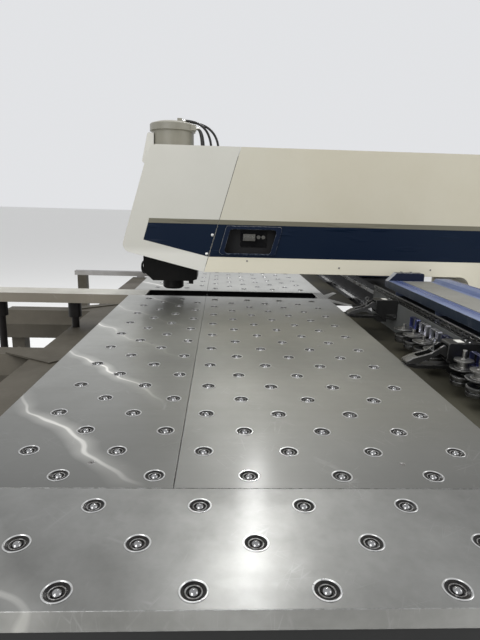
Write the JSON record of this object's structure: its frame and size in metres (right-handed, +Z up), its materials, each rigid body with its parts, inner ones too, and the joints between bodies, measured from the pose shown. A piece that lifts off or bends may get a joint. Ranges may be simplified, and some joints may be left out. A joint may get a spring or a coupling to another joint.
{
  "type": "punch press",
  "caption": "Single-head punch press with a C-frame, a ball-transfer table on a cross slide, sheet clamps and a linear tool magazine.",
  "frame": {"origin": "on the floor under the punch axis, at the centre of the front foot pad", "axes": "+X along the table wings towards the side where the tool rail is parked, +Y from the punch axis back into the throat, +Z up"},
  "size_m": [6.38, 4.75, 2.239],
  "materials": {
    "frame_paint": "satin dark grey paint",
    "bare_steel": "dull bare steel",
    "cover_white": "satin warm white paint, light scuffs",
    "cover_cream": "satin cream paint, yellowed and dusty",
    "navy_film": "navy adhesive film, slightly wrinkled",
    "grey_film": "mid grey film",
    "navy_frame": "navy paint with bright worn edges",
    "valve_metal": "machined aluminium",
    "cylinder_metal": "khaki grey plated metal",
    "hose_rubber": "black rubber hose",
    "hump_grey": "light grey paint",
    "black_cast": "oily black casting",
    "ground_steel": "ground steel",
    "motor_black": "black paint",
    "beam_grey": "grey paint, worn top",
    "post_black": "black rubber",
    "base_paint": "brown grey paint, dusty",
    "block_steel": "ground steel",
    "hood_blue": "blue paint",
    "plate_beige": "beige grey paint, dusty",
    "hood_navy": "dark navy paint",
    "table_steel": "brushed stainless sheet, scratched",
    "cup_steel": "black cup with a bright pressed rim",
    "ball_steel": "polished steel ball",
    "screw_steel": "zinc plated screw",
    "apron_paint": "brown grey paint, dusty",
    "gap_metal": "light sheet with pale dots",
    "roller_steel": "turned steel",
    "rail_paint": "dark warm grey paint",
    "strip_steel": "perforated steel strip, oily",
    "clamp_paint": "dark gunmetal",
    "jaw_steel": "steel with bright worn edges",
    "cassette_black": "black plastic",
    "clip_steel": "bright spring steel",
    "tool_steel": "oily tool steel",
    "ring_steel": "oily steel ring",
    "die_steel": "dark oxidised tool steel"
  },
  "bodies": {
    "machine_frame": {"c_frame": "frame_paint", "machine_feet": "bare_steel", "nose_cover": "cover_white", "arm_panel_near": "cover_cream", "arm_panel_far": "cover_cream", "arm_roof": "cover_cream", "throat_liner": "cover_cream", "rear_cover": "cover_cream", "trim_bands": "navy_film", "trim_stripes": "grey_film", "window_frame": "navy_frame", "valve_block": "valve_metal", "head_cylinder": "cylinder_metal", "head_hoses": "hose_rubber", "hump_cover": "hump_grey", "head_casting": "black_cast", "lower_housing": "frame_paint", "y_guide_rails": "ground_steel", "y_motor": "motor_black", "centre_beam": "beam_grey", "beam_posts": "post_black", "front_girder": "base_paint", "side_legs": "base_paint", "side_rails": "bare_steel"},
    "upper_rotor": {"upper_rotor": "black_cast"},
    "ram": {"ram": "ground_steel"},
    "stripper": {"stripper": "black_cast"},
    "lower_rotor": {"lower_rotor": "ground_steel"},
    "y_screw": {"y_screw": "ground_steel"},
    "cross_slide": {"crossbeam": "frame_paint", "y_guide_blocks": "block_steel", "x_guide_rails": "ground_steel", "beam_hoods": "hood_blue", "hood_plates": "plate_beige", "hood_ends": "hood_navy", "wing_frames": "beam_grey", "table_left_panels": "table_steel", "table_right_panels": "table_steel", "table_end_panels": "table_steel", "ball_cups": "cup_steel", "balls": "ball_steel", "table_screws": "screw_steel", "tool_aprons": "apron_paint", "gap_plate": "gap_metal", "roller_brackets": "bare_steel"},
    "roller_near_front": {"roller_near_front": "roller_steel"},
    "roller_near_rear": {"roller_near_rear": "roller_steel"},
    "roller_far_front": {"roller_far_front": "roller_steel"},
    "roller_far_rear": {"roller_far_rear": "roller_steel"},
    "tool_rail": {"rail_beam": "rail_paint", "rail_strip": "strip_steel", "clamp_bodies": "clamp_paint", "tool_cassettes": "cassette_black", "cassette_clips": "clip_steel", "punches": "tool_steel", "stripper_rings": "ring_steel", "dies": "die_steel"},
    "clamp_jaw_1": {"clamp_jaw_1": "jaw_steel"},
    "clamp_jaw_2": {"clamp_jaw_2": "jaw_steel"},
    "clamp_jaw_3": {"clamp_jaw_3": "jaw_steel"}
  },
  "joints": [
    {"name": "sleeve_turn", "type": "hinge", "parent": "machine_frame", "child": "upper_rotor", "pos_m": [0, 0, 1.1], "axis": [0, 0, 1], "continuous": true},
    {"name": "ram_stroke", "type": "slide", "parent": "upper_rotor", "child": "ram", "axis": [0, 0, -1], "range_m": [0, 0.04]},
    {"name": "stripper_stroke", "type": "slide", "parent": "upper_rotor", "child": "stripper", "axis": [0, 0, -1], "range_m": [0, 0.035]},
    {"name": "die_seat_turn", "type": "hinge", "parent": "machine_frame", "child": "lower_rotor", "pos_m": [0, 0, 0.8], "axis": [0, 0, 1], "continuous": true},
    {"name": "cross_slide_y", "type": "slide", "parent": "machine_frame", "child": "cross_slide", "axis": [0, 1, 0], "range_m": [-1.25, 0]},
    {"name": "screw_turn", "type": "hinge", "parent": "machine_frame", "child": "y_screw", "pos_m": [0, 1.2, 0.664], "axis": [0, 1, 0], "continuous": true},
    {"name": "tool_rail_x", "type": "slide", "parent": "cross_slide", "child": "tool_rail", "axis": [1, 0, 0], "range_m": [-2.5, 0]},
    {"name": "roller_near_front_turn", "type": "hinge", "parent": "cross_slide", "child": "roller_near_front", "pos_m": [2.9, -0.2, 0.7203], "axis": [1, 0, 0], "continuous": true},
    {"name": "roller_near_rear_turn", "type": "hinge", "parent": "cross_slide", "child": "roller_near_rear", "pos_m": [2.9, 1.1, 0.7203], "axis": [1, 0, 0], "continuous": true},
    {"name": "roller_far_front_turn", "type": "hinge", "parent": "cross_slide", "child": "roller_far_front", "pos_m": [-2.9, -0.2, 0.7203], "axis": [1, 0, 0], "continuous": true},
    {"name": "roller_far_rear_turn", "type": "hinge", "parent": "cross_slide", "child": "roller_far_rear", "pos_m": [-2.9, 1.1, 0.7203], "axis": [1, 0, 0], "continuous": true},
    {"name": "jaw_1_tilt", "type": "hinge", "parent": "tool_rail", "child": "clamp_jaw_1", "pos_m": [0.711, 1.455, 0.962], "axis": [-1, 0, 0], "range_deg": [-1.2, 8]},
    {"name": "jaw_2_tilt", "type": "hinge", "parent": "tool_rail", "child": "clamp_jaw_2", "pos_m": [1.772, 1.455, 0.962], "axis": [-1, 0, 0], "range_deg": [-1.2, 8]},
    {"name": "jaw_3_tilt", "type": "hinge", "parent": "tool_rail", "child": "clamp_jaw_3", "pos_m": [2.833, 1.455, 0.962], "axis": [-1, 0, 0], "range_deg": [-1.2, 8]}
  ],
  "couplings": [
    {"joint": "die_seat_turn", "follows": "sleeve_turn", "ratio": 1},
    {"joint": "screw_turn", "follows": "cross_slide_y", "rad_per_m": -314.16},
    {"joint": "roller_near_front_turn", "follows": "cross_slide_y", "rad_per_m": -25},
    {"joint": "roller_near_rear_turn", "follows": "cross_slide_y", "rad_per_m": -25},
    {"joint": "roller_far_front_turn", "follows": "cross_slide_y", "rad_per_m": -25},
    {"joint": "roller_far_rear_turn", "follows": "cross_slide_y", "rad_per_m": -25},
    {"joint": "jaw_2_tilt", "follows": "jaw_1_tilt", "ratio": 1},
    {"joint": "jaw_3_tilt", "follows": "jaw_1_tilt", "ratio": 1}
  ]
}
